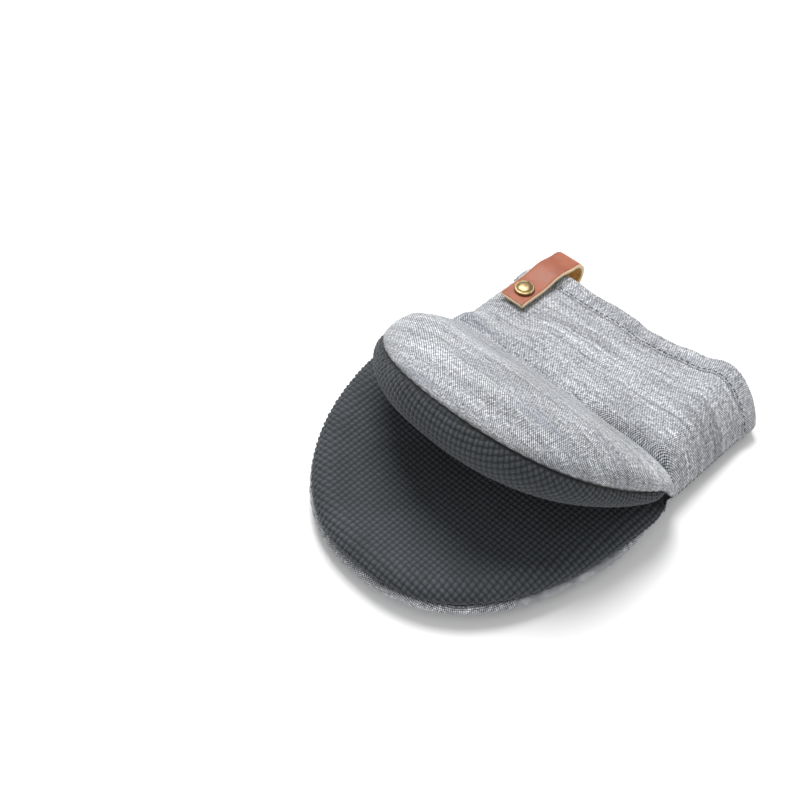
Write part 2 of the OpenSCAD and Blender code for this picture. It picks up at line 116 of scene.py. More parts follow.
class Outline:
    """A pocket's seam: a half superellipse in front of the fold and straight sides behind."""

    def __init__(self, half_w, length, back, spare):
        self.half_w, self.length, self.back, self.spare = half_w, length, back, spare
        t = np.radians(np.linspace(90, -90, 1400))
        sides = np.linspace(back, 0, max(2, int(back * 4)), endpoint=False)
        x = half_w * np.sign(np.sin(t)) * np.abs(np.sin(t)) ** (2 / OUTLINE_POWER)
        y = -length * np.abs(np.cos(t)) ** (2 / OUTLINE_POWER)
        width = side_width(half_w, sides)
        self.points = np.vstack([
            np.column_stack([width, sides]),
            np.column_stack([x, y]),
            np.column_stack([-width[::-1], sides[::-1]]),
        ]) if back > 0 else np.column_stack([x, y])
        step = np.gradient(self.points, axis=0)
        step /= np.linalg.norm(step, axis=1)[:, None]
        self.normal = np.column_stack([-step[:, 1], step[:, 0]])
        to_middle = np.array([0, 8.0]) - self.points
        self.normal *= -np.sign(np.sum(self.normal * to_middle, axis=1))[:, None]
        self.flat = self.points + spare * self.normal
        seam = np.linalg.norm(np.diff(self.points, axis=0), axis=1)
        self.along = np.concatenate([[0], np.cumsum(seam)])
        self.tip = np.where(self.points[:, 1] < 0, np.abs(self.points[:, 1]) / length, 0)
        self.tree = kdtree.KDTree(len(self.flat))
        for i, p in enumerate(self.flat):
            self.tree.insert((p[0], p[1], 0), i)
        self.tree.balance()

    def inside(self, p):
        x, y = np.abs(p[:, 0]), p[:, 1]
        w, l = self.half_w + self.spare, self.length + self.spare
        front = (x / w) ** OUTLINE_POWER + (np.abs(np.minimum(y, 0)) / l) ** OUTLINE_POWER
        behind = x / (self.spare + side_width(self.half_w, y))
        return np.where(y < 0, front, behind) < 0.9995

    def nearest(self, p):
        found = [self.tree.find((a, b, 0))[1:] for a, b in p]
        return np.array([f[0] for f in found]), np.array([f[1] for f in found])


def rim_edges(quads):
    """Edges that belong to one quad only, each in its quad's own direction."""
    edges = np.vstack([quads[:, [0, 1]], quads[:, [1, 2]], quads[:, [2, 3]], quads[:, [3, 0]]])
    key = np.sort(edges, axis=1)
    _, first, uses = np.unique(key, axis=0, return_index=True, return_counts=True)
    return edges[first[uses == 1]]


def flat_grid(outline, step, back):
    """Square grid of the flat cloth inside an outline, with its outer points moved onto it.
    Returns the points, the quads, and for each point the seam point and the distance to it."""
    w = outline.half_w + outline.spare + step
    nx = int(math.ceil(w / step))
    ny = int(math.ceil((outline.length + outline.spare + step) / step))
    xs = np.arange(-nx, nx + 1) * step
    nb = int(round(back / step))
    ys = np.concatenate([np.arange(-ny, 0) * step, np.linspace(0, back, nb + 1)])
    gx, gy = np.meshgrid(xs, ys)
    p = np.column_stack([gx.ravel(), gy.ravel()])
    inner = outline.inside(p)
    cols = len(xs)
    r, c = np.meshgrid(np.arange(len(ys) - 1), np.arange(cols - 1), indexing="ij")
    a = (r * cols + c).ravel()
    quads = np.column_stack([a, a + 1, a + cols + 1, a + cols])
    quads = quads[inner[quads].sum(axis=1) >= 2]
    used, quads = np.unique(quads, return_inverse=True)
    quads = quads.reshape(-1, 4)
    p, inner = p[used], inner[used]
    index, distance = outline.nearest(p)
    out = ~inner
    rim = np.unique(rim_edges(quads))
    out[rim] |= p[rim, 1] < back - step / 2
    snap = outline.flat[index[out]]
    p[out, 0] = snap[:, 0]
    p[out, 1] = np.minimum(snap[:, 1], back)
    distance[out] = 0
    return p, quads, index, distance


# ---- Turned edges --------------------------------------------------------------------------

def roll(p, outline, index, distance, radius, arc, turn_in=CLOTH_GROOVE):
    """Plan position of flat cloth that rolls over from its seam, and the share of its height.
    Beside the pockets it starts by bulging out, which leaves the seam in a groove."""
    ahead = smooth((4 - outline.points[index, 1]) / 6)
    groove = turn_in * (0.1 + 0.9 * ahead)
    angle = -groove + (math.pi / 2 + groove) * unit(distance / arc)
    inward = radius * (np.cos(groove) - np.cos(angle))
    share = (np.sin(angle) + np.sin(groove)) / (1 + np.sin(groove))
    rest = (arc - outline.spare - radius * np.cos(groove)) * smooth(1 - (distance - arc) / 30)
    move = np.where(distance < arc, distance - outline.spare - inward, rest)
    return p + outline.normal[index] * move[:, None], share


def tilt(points, angle):
    """Turns points about the fold, which is the X axis of their own frame."""
    c, s = math.cos(angle), math.sin(angle)
    y, z = points[:, 1], points[:, 2]
    return np.column_stack([points[:, 0], c * y + s * z, -s * y + c * z])


def curl(x, y):
    return FINGER_CURL * unit(-x / HALF_W) ** 2.2 * smooth(-y / 26)


# ---- Surfaces, from the fold ---------------------------------------------------------------

def drawn_in(x, y):
    """A grip pad's corners draw in a little at the fold."""
    return x * (1 - 0.014 * smooth(1 + y / 9))


def finger_pad_surface(p, outline, index, distance):
    xy, share = roll(p, outline, index, distance, 9.0, 12.5, GRIP_GROOVE)
    x, y = xy[:, 0], xy[:, 1]
    crown = FOLD_Z - 0.2 + 2.8 * smooth(-y / 45) - 1.6 * np.exp(-(x / 30) ** 2 - ((y + 52) / 30) ** 2)
    crown += 0.5 * ripple(xy, (34, 26), 3.1)
    z = FINGER_SEAM_Z + (crown - FINGER_SEAM_Z) * share + curl(x, y)
    near = smooth(1 + y / 6)
    z = z * (1 - near * 0.6) + FOLD_Z * near * 0.6
    over = z - (FOLD_Z - y * math.tan(CLOSED) - 3.1 * smooth(-y / 8))
    z = z - share * (over + np.sqrt(over ** 2 + SOFTNESS)) / 2
    return np.column_stack([drawn_in(x, y), y, z - FOLD_Z])


def thumb_seam(outline, index):
    return 6.0 + 13.0 * outline.tip[index] ** (OUTLINE_POWER / 2)


def thumb_pad_surface(p, outline, index, distance):
    seam = thumb_seam(outline, index)
    xy, share = roll(p, outline, index, distance, 13.0, 22.0, GRIP_GROOVE)
    n = seam - (seam + 0.4) * share + 0.35 * ripple(xy, (30, 24), 5.7)
    n = n + 1.2 * smooth(1 + xy[:, 1] / 12) * smooth(-xy[:, 1] / 3)
    return tilt(np.column_stack([drawn_in(xy[:, 0], xy[:, 1]), xy[:, 1], n]), MOUTH)


def thumb_top_surface(p, outline, index, distance):
    seam = thumb_seam(outline, index)
    xy, share = roll(p, outline, index, distance, 22.0, 29.0)
    plump = 3.4 * np.sin(math.pi * unit(distance / 20)) * smooth((p[:, 1] + 34) / 22)
    xy = xy + outline.normal[index] * plump[:, None]
    x, y = xy[:, 0], xy[:, 1]
    belly = 10.5 * smooth(-y / 38) * (1 - 0.25 * (x / THUMB_HALF_W) ** 2)
    crown = THUMB_BACK + belly + 0.9 * ripple(xy, (26, 22), 1.3)
    n = seam + (crown - seam) * share
    return tilt(np.column_stack([x, y, n]), MOUTH)


def corner(x, y):
    """Share of the riveted corner, where the two sides of the cuff are drawn together."""
    return smooth((-22 - x) / 24) * smooth((y - 12) / 28)


def hump(x):
    return np.cos(math.pi / 2 * unit(np.abs(x - 47) / 36)) ** 2


def edge_back(x, y):
    """The bound edge draws back towards its corners."""
    return y * (1 - 8 / CUFF_LEN * unit((np.abs(x) - 45) / 22) ** 2)


def cuff_side_z(y):
    return 4.8 + (FINGER_SEAM_Z - 4.8) * smooth(1 - y / 18)


def creases(x, y):
    """Soft lengthwise folds of the cuff's cloth."""
    xy = np.column_stack([x + 0.12 * y, y])
    big = 1.9 * ripple(xy, (12, 60), 2.2)
    small = 0.45 * ripple(xy, (5.5, 30), 9.4)
    return (big + small) * smooth(y / 14)


def cuff_top_surface(p, outline, index, distance):
    xy, share = roll(p, outline, index, distance, 13.0, 17.0)
    x, y = xy[:, 0], xy[:, 1] + CUFF_SHIFT
    along = smooth(y / (CUFF_LEN + 4))
    free = (FOLD_Z + 14.5) * (1 - along) + (12.3 + 9.0 * hump(x)) * along
    ceiling = free * (1 - corner(x, y)) + 13.0 * corner(x, y)
    ceiling = ceiling + creases(x, y) * (1 - 0.7 * corner(x, y))
    side = cuff_side_z(y) + 4.0 * corner(x, y)
    z = side + (ceiling - side) * share
    return np.column_stack([x, edge_back(x, y), z - FOLD_Z])


def top_surface(p, outline, index, distance):
    """Thumb pocket's back and cuff's top in one cloth, with a tuck between them."""
    thumb = thumb_top_surface(p, outline, index, distance)
    cuff = cuff_top_surface(p, outline, index, distance)
    v = p[:, 1]
    w = smooth((v + 6) / 14)[:, None]
    out = thumb * (1 - w) + cuff * w
    deep = 0.25 + 0.75 * smooth((p[:, 0] - 4) / 34) + 0.2 * smooth((-p[:, 0] - 40) / 20)
    narrow = 2.7 - 1.0 * smooth((p[:, 0] - 10) / 40)
    tuck = 5.6 * np.exp(-np.abs((v - 3.2) / narrow) ** 1.3) * deep
    out[:, 2] -= tuck * smooth(distance / 16)
    out[:, :2] -= outline.normal[index] * (0.45 * tuck * np.exp(-((distance - 8) / 7) ** 2))[:, None]
    out[:, 0] += np.sign(p[:, 0]) * 2.4 * np.exp(-((v - 1) / 4) ** 2 - (distance / 8) ** 2)
    return out


def back_surface(p, outline, index, distance):
    """Back of the finger pocket and of the cuff, in one cloth."""
    v = p[:, 1]
    xy, share = roll(p, outline, index, distance, 12.0, 15.0)
    bulge = 3.2 * np.sin(math.pi * unit(distance / 11)) * smooth(outline.tip[index] * 3)
    xy = xy + outline.normal[index] * bulge[:, None]
    x, y = xy[:, 0], xy[:, 1]
    ahead = v < 0
    seam = np.where(ahead, FINGER_SEAM_Z + curl(x, y), cuff_side_z(y) + 4.0 * corner(x, y))
    lift = np.where(ahead, curl(x, y), 6.3 * corner(x, y))
    lift = np.maximum(lift, 1.5 * smooth((y - 54) / 9))
    ground = 0.25 + 0.35 * (1 + ripple(xy, (24, 30), 7.7))
    z = seam + (ground + lift - seam) * share
    return np.column_stack([x, np.where(ahead, y, edge_back(x, y)), z - FOLD_Z])


# ---- Meshes --------------------------------------------------------------------------------

def to_world(points):
    return (np.asarray(points) + np.array([0, FOLD_Y, FOLD_Z])) * MM


def normals_of(points, quads):
    a = points[quads[:, 2]] - points[quads[:, 0]]
    b = points[quads[:, 3]] - points[quads[:, 1]]
    n = np.cross(a, b)
    out = np.zeros_like(points)
    for k in range(4):
        np.add.at(out, quads[:, k], n)
    length = np.linalg.norm(out, axis=1)[:, None]
    return out / np.maximum(length, 1e-9)


def mesh_piece(name, points, faces, materials, face_material=None, uv=None, fields=()):
    """A smooth-shaded object from points in metres. uv and fields are per point."""
    mesh = bpy.data.meshes.new(name)
    mesh.from_pydata([tuple(p) for p in points], [], [tuple(int(i) for i in f) for f in faces])
    for m in materials:
        mesh.materials.append(m)
    if face_material is not None:
        mesh.polygons.foreach_set("material_index", np.asarray(face_material, np.int32))
    mesh.polygons.foreach_set("use_smooth", np.ones(len(mesh.polygons), bool))
    if uv is not None:
        layer = mesh.uv_layers.new(name="cloth")
        loops = np.zeros(len(mesh.loops), np.int32)
        mesh.loops.foreach_get("vertex_index", loops)
        layer.data.foreach_set("uv", np.asarray(uv)[loops].ravel())
    for field, values in dict(fields).items():
        mesh.attributes.new(field, "FLOAT", "POINT")
        mesh.attributes[field].data.foreach_set("value", np.asarray(values, np.float32))
    mesh.validate()
    piece = bpy.data.objects.new(name, mesh)
    bpy.context.collection.objects.link(piece)
    return piece


def padded_panel(name, flat, outer, quads, wall, materials, outward, raised, fields):
    """Closed panel: an outer face, an inner face a wall below it, and the edge between."""
    n = normals_of(outer, quads)
    if np.mean(n @ np.asarray(outward, float)) < 0:
        quads = quads[:, ::-1]
        n = -n
    inner = outer - n * wall[:, None]
    outer = outer + n * raised[:, None]
    count = len(outer)
    rim = rim_edges(quads)
    rim_faces = np.column_stack([rim[:, 1], rim[:, 0], rim[:, 0] + count, rim[:, 1] + count])
    faces = np.vstack([quads, quads[:, ::-1] + count, rim_faces])
    kinds = np.concatenate([
        np.zeros(len(quads)), np.ones(len(quads)), np.zeros(len(rim_faces)),
    ]).astype(int)
    uv = np.vstack([flat, flat]) * MM
    both = {field: np.concatenate([values, np.zeros(count)]) for field, values in fields.items()}
    return mesh_piece(name, to_world(np.vstack([outer, inner])), faces, materials, kinds, uv, both)


def basket(flat):
    """Height of the grip's embossed basket weave, from 0 in the grooves to 1."""
    a, b = flat[:, 0] / WEAVE_PITCH, flat[:, 1] / WEAVE_PITCH
    i, j = np.floor(a + 0.5), np.floor(b + 0.5)
    fu, fv = 2 * np.abs(a - i), 2 * np.abs(b - j)
    over = (i + j) % 2 == 0
    across = unit(1.12 * np.where(over, fu, fv))
    along = np.where(over, fv, fu)
    return (1 - across ** 2.6) * (0.30 + 0.70 * np.cos(along * math.pi / 2.15))


def gather(outline, index, distance, pitch, height):
    """Small tucks that run in from a seam."""
    along = outline.along[index]
    wave = np.sin(2 * math.pi * along / pitch + 2.0 * np.sin(along / 17.0))
    return height * wave * np.exp(-distance / 5.0) * smooth(distance / 1.2)


# ---- Materials -----------------------------------------------------------------------------

class Nodes:
    """Short hand for building one material's node tree."""

    def __init__(self, name):
        self.material = bpy.data.materials.new(name)
        self.material.use_nodes = True
        self.tree = self.material.node_tree
        self.shader = self.tree.nodes["Principled BSDF"]

    def add(self, kind, **values):
        node = self.tree.nodes.new(kind)
        for key, value in values.items():
            setattr(node, key, value)
        return node

    def link(self, source, target):
        self.tree.links.new(source, target)

    def put(self, value, socket):
        if isinstance(value, bpy.types.NodeSocket):
            self.link(value, socket)
        else:
            socket.default_value = value

    def math(self, operation, a, b=0.0, c=0.0):
        node = self.add("ShaderNodeMath", operation=operation)
        for value, socket in zip((a, b, c), node.inputs):
            self.put(value, socket)
        return node.outputs[0]

    def mix(self, factor, a, b):
        node = self.add("ShaderNodeMix", data_type="RGBA")
        self.put(factor, node.inputs[0])
        self.put(a, node.inputs[6])
        self.put(b, node.inputs[7])
        return node.outputs[2]

    def noise(self, vector, scale, detail=3.0, rough=0.5):
        node = self.add("ShaderNodeTexNoise")
        self.link(vector, node.inputs["Vector"])
        node.inputs["Scale"].default_value = scale
        node.inputs["Detail"].default_value = detail
        node.inputs["Roughness"].default_value = rough
        return node.outputs["Fac"]

    def span(self, value, low, high, to_low=0.0, to_high=1.0):
        node = self.add("ShaderNodeMapRange", interpolation_type="SMOOTHSTEP")
        self.put(value, node.inputs[0])
        for socket, v in zip(node.inputs[1:5], (low, high, to_low, to_high)):
            socket.default_value = v
        return node.outputs[0]

    def scaled(self, vector, scale):
        node = self.add("ShaderNodeVectorMath", operation="MULTIPLY")
        self.link(vector, node.inputs[0])
        node.inputs[1].default_value = scale
        return node.outputs[0]

    def object_place(self):
        return self.add("ShaderNodeTexCoord").outputs["Object"]

    def uv(self):
        return self.add("ShaderNodeUVMap", uv_map="cloth").outputs[0]

    def bump(self, height, distance, strength=1.0):
        node = self.add("ShaderNodeBump")
        node.inputs["Strength"].default_value = strength
        node.inputs["Distance"].default_value = distance
        self.link(height, node.inputs["Height"])
        return node.outputs[0]

    def finish(self, color, roughness, normal=None, **constants):
        self.put(color, self.shader.inputs["Base Color"])
        self.put(roughness, self.shader.inputs["Roughness"])
        if normal is not None:
            self.link(normal, self.shader.inputs["Normal"])
        for key, value in constants.items():
            self.shader.inputs[key].default_value = value
        return self.material


def woven(name, warp, weft, pitch, tone=0.10, turn=False):
    """Plain-woven cloth of two yarns, with slubs, flecks and a soft change of tone, and painted shade in
    bluish lengthwise streaks and at its seams and tuck.
    """
    m = Nodes(name)
    split = m.add("ShaderNodeSeparateXYZ")
    m.link(m.uv(), split.inputs[0])
    u, v = split.outputs[0], split.outputs[1]
    if turn:
        u, v = v, u
    wobble = m.noise(m.scaled(m.uv(), (60.0, 60.0, 1.0)), 1.0, 2.0)
    u = m.math("MULTIPLY_ADD", m.math("SUBTRACT", wobble, 0.5), 0.0016, u)
    ku, kv = m.math("MULTIPLY", u, 1 / (pitch * MM)), m.math("MULTIPLY", v, 1 / (pitch * MM))
    su = m.math("SINE", m.math("MULTIPLY", ku, math.pi))
    sv = m.math("SINE", m.math("MULTIPLY", kv, math.pi))
    over = m.span(m.math("MULTIPLY", su, sv), -0.16, 0.16)
    round_u = m.math("POWER", m.math("ABSOLUTE", su), 0.6)
    round_v = m.math("POWER", m.math("ABSOLUTE", sv), 0.6)

    def yarn_tone(across, along, seed):
        """Each yarn's own shade, and the slubs that swell along it."""
        cell = m.add("ShaderNodeCombineXYZ")
        m.link(m.math("FLOOR", across), cell.inputs[0])
        cell.inputs[1].default_value = seed
        white = m.add("ShaderNodeTexWhiteNoise", noise_dimensions="2D")
        m.link(cell.outputs[0], white.inputs["Vector"])
        place = m.add("ShaderNodeCombineXYZ")
        m.link(m.math("MULTIPLY", m.math("FLOOR", across), 3.7), place.inputs[0])
        m.link(m.math("MULTIPLY", along, 0.045), place.inputs[1])
        place.inputs[2].default_value = seed
        slub = m.noise(place.outputs[0], 1.0, 2.0, 0.6)
        return m.math("ADD", m.math("MULTIPLY", white.outputs[0], 0.4), m.math("MULTIPLY", slub, 0.9))

    warp_tone = yarn_tone(ku, kv, 1.0)
    weft_tone = yarn_tone(kv, ku, 5.0)
    warp_color = m.mix(m.span(warp_tone, 0.35, 0.95), warp[0], warp[1])
    weft_color = m.mix(m.span(weft_tone, 0.30, 0.85), weft[0], weft[1])
    color = m.mix(over, weft_color, warp_color)
    place = m.object_place()
    broad = m.span(m.noise(place, 26.0, 3.0), 0.3, 0.7, 1 - tone, 1 + tone)
    streak = m.span(m.noise(m.scaled(m.uv(), (24.0, 190.0, 1.0)), 1.0, 3.0, 0.6), 0.28, 0.72, 0.76, 1.18)
    fleck = m.span(m.noise(m.scaled(m.uv(), (900.0, 420.0, 1.0)), 1.0, 2.0, 0.7), 0.66, 0.76)
    dark = m.span(m.noise(m.scaled(m.uv(), (520.0, 820.0, 1.0)), 1.0, 2.0, 0.6), 0.68, 0.78)
    speckle = m.span(m.noise(m.scaled(m.uv(), (880.0, 560.0, 1.0)), 1.0, 4.0, 0.65), 0.34, 0.68, 0.50, 1.40)
    shade = m.math("MULTIPLY", m.math("MULTIPLY", broad, streak), m.math("MULTIPLY", speckle, 0.93))
    scale = m.add("ShaderNodeVectorMath", operation="SCALE")
    m.link(color, scale.inputs[0])
    m.link(shade, scale.inputs["Scale"])
    color = m.mix(m.math("MULTIPLY", fleck, 0.75), scale.outputs[0], (0.80, 0.81, 0.83, 1))
    color = m.mix(m.math("MULTIPLY", dark, 0.60), color, (0.035, 0.042, 0.055, 1))
    # Painted shade: bluish darker streaks along the length stand for shade in the cloth's soft lengthwise
    # folds.
    fold_shade = m.span(m.noise(m.scaled(m.uv(), (15.0, 70.0, 1.0)), 1.0, 2.0), 0.50, 0.74)
    color = m.mix(m.math("MULTIPLY", fold_shade, 0.34), color, (0.145, 0.165, 0.215, 1))
    # Painted shade: the cloth is darkened to near-black where the seam field is high, in the seam grooves
    # and along the tuck, where shade falls.
    seam = m.add("ShaderNodeAttribute", attribute_name="seam").outputs["Fac"]
    color = m.mix(m.span(seam, 0.12, 0.85, 0.0, 0.92), color, (0.008, 0.009, 0.012, 1))
    height = m.add("ShaderNodeMix", data_type="FLOAT")
    m.link(over, height.inputs[0])
    m.link(round_v, height.inputs[2])
    m.link(round_u, height.inputs[3])
    fuzz = m.noise(place, 2600.0, 2.0, 0.7)
    rise = m.math("ADD", height.outputs[0], m.math("MULTIPLY", fuzz, 0.35))
    normal = m.bump(rise, 0.00016, 0.9)
    return m.finish(color, 0.92, normal, **{"Sheen Weight": 0.25, "Sheen Roughness": 0.5,
                                            "Specular IOR Level": 0.2})


def grip_material():
    m = Nodes("grip_rubber")
    relief = m.add("ShaderNodeAttribute", attribute_name="relief").outputs["Fac"]
    place = m.object_place()
    # Painted shade: the weave's grooves are coloured near-black and its ribs lighter, as shade falls in the
    # grooves.
    ramp = m.add("ShaderNodeValToRGB")
    m.link(relief, ramp.inputs[0])
    groove, rib = ramp.color_ramp.elements
    groove.position, groove.color = 0.0, (0.0025, 0.003, 0.004, 1)
    rib.position, rib.color = 0.8, (0.045, 0.052, 0.060, 1)
    cloudy = m.span(m.noise(place, 45.0, 4.0, 0.6), 0.3, 0.7, 0.82, 1.18)
    scale = m.add("ShaderNodeVectorMath", operation="SCALE")
    m.link(ramp.outputs[0], scale.inputs[0])
    m.link(cloudy, scale.inputs["Scale"])
    fine = m.noise(place, 2100.0, 3.0, 0.65)
    # Painted shade: the grip is darkened to near-black at its seam, where shade falls in the groove.
    seam = m.add("ShaderNodeAttribute", attribute_name="seam").outputs["Fac"]
    color = m.mix(m.span(seam, 0.12, 0.85, 0.0, 0.85), scale.outputs[0], (0.004, 0.004, 0.005, 1))
    return m.finish(color, m.span(fine, 0.3, 0.7, 0.62, 0.82), m.bump(fine, 0.00010, 0.7),
                    **{"Specular IOR Level": 0.35, "Sheen Weight": 0.15})


def plain_cloth(name, color, dark):
    return woven(name, (dark, color), (color, color), 0.5, tone=0.05)


def thread_material():
    m = Nodes("sewing_thread")
    place = m.object_place()
    wave = m.add("ShaderNodeTexWave", bands_direction="DIAGONAL")
    m.link(place, wave.inputs["Vector"])
    wave.inputs["Scale"].default_value = 900.0
    color = m.mix(wave.outputs["Fac"], (0.010, 0.011, 0.013, 1), (0.045, 0.048, 0.055, 1))
    return m.finish(color, 0.7, m.bump(wave.outputs["Fac"], 0.00006))


def leather_face():
    m = Nodes("leather_face")
    place = m.object_place()
    cells = m.add("ShaderNodeTexVoronoi", feature="DISTANCE_TO_EDGE")
    m.link(place, cells.inputs["Vector"])
    cells.inputs["Scale"].default_value = 1500.0
    grain = m.span(cells.outputs["Distance"], 0.0, 0.12)
    tone = m.noise(place, 120.0, 5.0, 0.6)
    color = m.mix(m.span(tone, 0.3, 0.7), (0.25, 0.066, 0.029, 1), (0.33, 0.094, 0.044, 1))
    color = m.mix(m.math("MULTIPLY", m.math("SUBTRACT", 1.0, grain), 0.22), color, (0.15, 0.038, 0.016, 1))
    rise = m.math("ADD", grain, m.math("MULTIPLY", tone, 0.6))
    return m.finish(color, m.span(tone, 0.2, 0.8, 0.42, 0.58), m.bump(rise, 0.00007, 0.6))


def leather_back():
    m = Nodes("leather_suede")
    place = m.object_place()
    nap = m.noise(place, 900.0, 6.0, 0.75)
    tone = m.noise(place, 90.0, 4.0)
    color = m.mix(m.span(tone, 0.3, 0.7), (0.40, 0.185, 0.028, 1), (0.55, 0.29, 0.06, 1))
    color = m.mix(m.span(nap, 0.45, 0.75), color, (0.80, 0.52, 0.18, 1))
    return m.finish(color, 0.95, m.bump(nap, 0.00018), **{"Sheen Weight": 0.3})


def leather_edge():
    m = Nodes("leather_cut_edge")
    place = m.object_place()
    fibre = m.noise(m.scaled(place, (1.0, 1.0, 3.0)), 1300.0, 5.0, 0.7)
    color = m.mix(m.span(fibre, 0.3, 0.7), (0.58, 0.42, 0.25, 1), (0.80, 0.68, 0.48, 1))
    return m.finish(color, 0.9, m.bump(fibre, 0.00012))


def brass_material():
    m = Nodes("antique_brass")
    place = m.object_place()
    patina = m.noise(place, 420.0, 5.0, 0.65)
    scratch = m.noise(m.scaled(place, (1.0, 9.0, 1.0)), 900.0, 3.0, 0.6)
    color = m.mix(m.span(patina, 0.42, 0.72), (0.33, 0.24, 0.12, 1), (0.13, 0.09, 0.042, 1))
    return m.finish(color, m.span(scratch, 0.2, 0.8, 0.26, 0.46), m.bump(scratch, 0.00002),
                    **{"Metallic": 1.0})


WARP = ((0.034, 0.042, 0.058, 1), (0.175, 0.190, 0.220, 1))
WEFT = ((0.46, 0.47, 0.495, 1), (0.80, 0.81, 0.83, 1))
chambray = woven("chambray", WARP, WEFT, YARN_PITCH)
chambray_across = woven("chambray_binding", WARP, WEFT, YARN_PITCH, turn=True)
lining_cloth = plain_cloth("cotton_lining", (0.17, 0.175, 0.185, 1), (0.12, 0.125, 0.135, 1))
grip = grip_material()
thread = thread_material()
brass = brass_material()

# ---- Panels --------------------------------------------------------------------------------

top_outline = Outline(THUMB_HALF_W, THUMB_LEN, CUFF_LEN - CUFF_SHIFT, TOP_EASE)
back_outline = Outline(HALF_W, FINGER_LEN, CUFF_LEN, BACK_EASE)
finger_outline = Outline(HALF_W, FINGER_LEN, 0, FINGER_EASE)
thumb_outline = Outline(THUMB_HALF_W, THUMB_LEN, 0, THUMB_EASE)

CLOTH_STEP = 1.25
GRIP_STEP = WEAVE_PITCH / 5      # an odd share, so that no point falls on a groove's middle


def tuck_shade_line(flat):
    """Where the tuck between thumb pocket and cuff closes on itself: a mask for painted shade along that
    line.
    """
    x, v = flat[:, 0], flat[:, 1]
    return np.exp(-((v - 3.4) / 0.8) ** 2) * smooth((x - 12) / 24)


def make_panel(name, outline, back, step, surface, wall, materials, outward, emboss=0.0,
               tuck=(5.2, 0.35), crease_shade=0.0):
    """A padded panel of one cloth, with the fields that its material paints shade by: the seam field in the
    seam groove and along the tuck, the relief field in a grip's grooves.
    """
    flat, quads, index, distance = flat_grid(outline, step, back)
    points = surface(flat, outline, index, distance)
    raised = gather(outline, index, distance, *tuck)
    ahead = smooth((4 - outline.points[index, 1]) / 6)
    # Painted shade: the seam field darkens the material near the seam and along the tuck line, where shade
    # falls.
    fields = {"seam": np.exp(-distance / 1.3) * (0.25 + 0.75 * ahead) + crease_shade * tuck_shade_line(flat)}
    if emboss:
        weave = basket(flat) * smooth(distance / 1.5) * (0.15 + 0.85 * smooth(-flat[:, 1] / 6))
        raised = raised + emboss * weave
        # The relief field also sets the painted shade in the grip's grooves.
        fields["relief"] = weave
    thick = wall * (SEAM_WALL + (1 - SEAM_WALL) * smooth(distance / THIN_OVER))
    return padded_panel(name, flat, points, quads, thick, materials, outward, raised, fields)


top_cloth = make_panel("top_cloth", top_outline, CUFF_LEN - CUFF_SHIFT, CLOTH_STEP, top_surface,
                       WALL, [chambray, lining_cloth], (0, 0, 1), crease_shade=0.62)
back_cloth = make_panel("back_cloth", back_outline, CUFF_LEN, CLOTH_STEP, back_surface,
                        WALL, [chambray, lining_cloth], (0, 0, -1))


finger_pad = make_panel("finger_grip_pad", finger_outline, 0, GRIP_STEP, finger_pad_surface,
                        GRIP_WALL, [grip, lining_cloth], (0, 0, 1), EMBOSS, (4.2, 0.2))
thumb_pad = make_panel("thumb_grip_pad", thumb_outline, 0, GRIP_STEP, thumb_pad_surface,
                       GRIP_WALL, [grip, lining_cloth], (0, -0.45, -0.9), EMBOSS, (4.2, 0.2))

TOP_NODES = ("thumb_shell", "thumb_batting", "thumb_lining", "cuff_top_shell", "cuff_top_batting",
             "cuff_top_lining")
BACK_NODES = ("finger_shell", "finger_batting", "finger_lining", "cuff_back_shell",
              "cuff_back_batting", "cuff_back_lining")
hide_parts(*TOP_NODES)
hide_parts(*BACK_NODES)
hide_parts("finger_grip", "finger_palm_lining", "palm_fold")
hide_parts("thumb_grip", "thumb_palm_lining")
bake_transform(top_cloth)
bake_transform(back_cloth)
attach(finger_pad, "finger_pocket")
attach(thumb_pad, "thumb_pocket")

# ---- Binding -------------------------------------------------------------------------------

def edge_strip(outline, surface, back, up):
    """Rows of points and normals beside the cuff's edge, running across the mitt."""
    w = CUFF_HALF_W + outline.spare
    xs = np.linspace(-w, w, 170)
    rows = []
    for v in (back - HEM, back - HEM / 2, back):
        p = np.column_stack([xs, np.full_like(xs, v)])
        index, distance = outline.nearest(p)
        rows.append(surface(p, outline, index, distance))
    rows = np.array(rows)
    normal = np.cross(np.gradient(rows[1], axis=0), rows[2] - rows[0])
    normal /= np.linalg.norm(normal, axis=1)[:, None]
    return rows, normal * np.sign(up * normal[:, 2].sum())


# The binding's section: how far along the hem, how far beyond the edge, height above the cloth.
HEM_SECTION = (
    (0.00, 0.0, 0.10), (0.05, 0.0, 0.70), (0.15, 0.0, 0.42), (0.28, 0.0, 0.90), (0.55, 0.0, 1.12),
    (0.85, 0.0, 1.10), (1.00, 0.25, 0.85), (1.00, 0.85, -0.30), (1.00, 1.0, -WALL / 2),
    (1.00, 0.85, 0.30 - WALL), (1.00, 0.25, -0.85 - WALL), (0.85, 0.0, -1.05 - WALL),
    (0.45, 0.0, -1.0 - WALL), (0.05, 0.0, -0.7 - WALL), (0.00, 0.0, -0.1 - WALL),
)


def hem_point(rows, normal, section, pucker):
    k, beyond, height = section
    a, b, c = rows
    base = a + (b - a) * 2 * k if k < 0.5 else b + (c - b) * (2 * k - 1)
    out = (c - b) / np.linalg.norm(c - b, axis=1)[:, None]
    return base + out * beyond + normal * (height + pucker * (height > 0))[:, None]


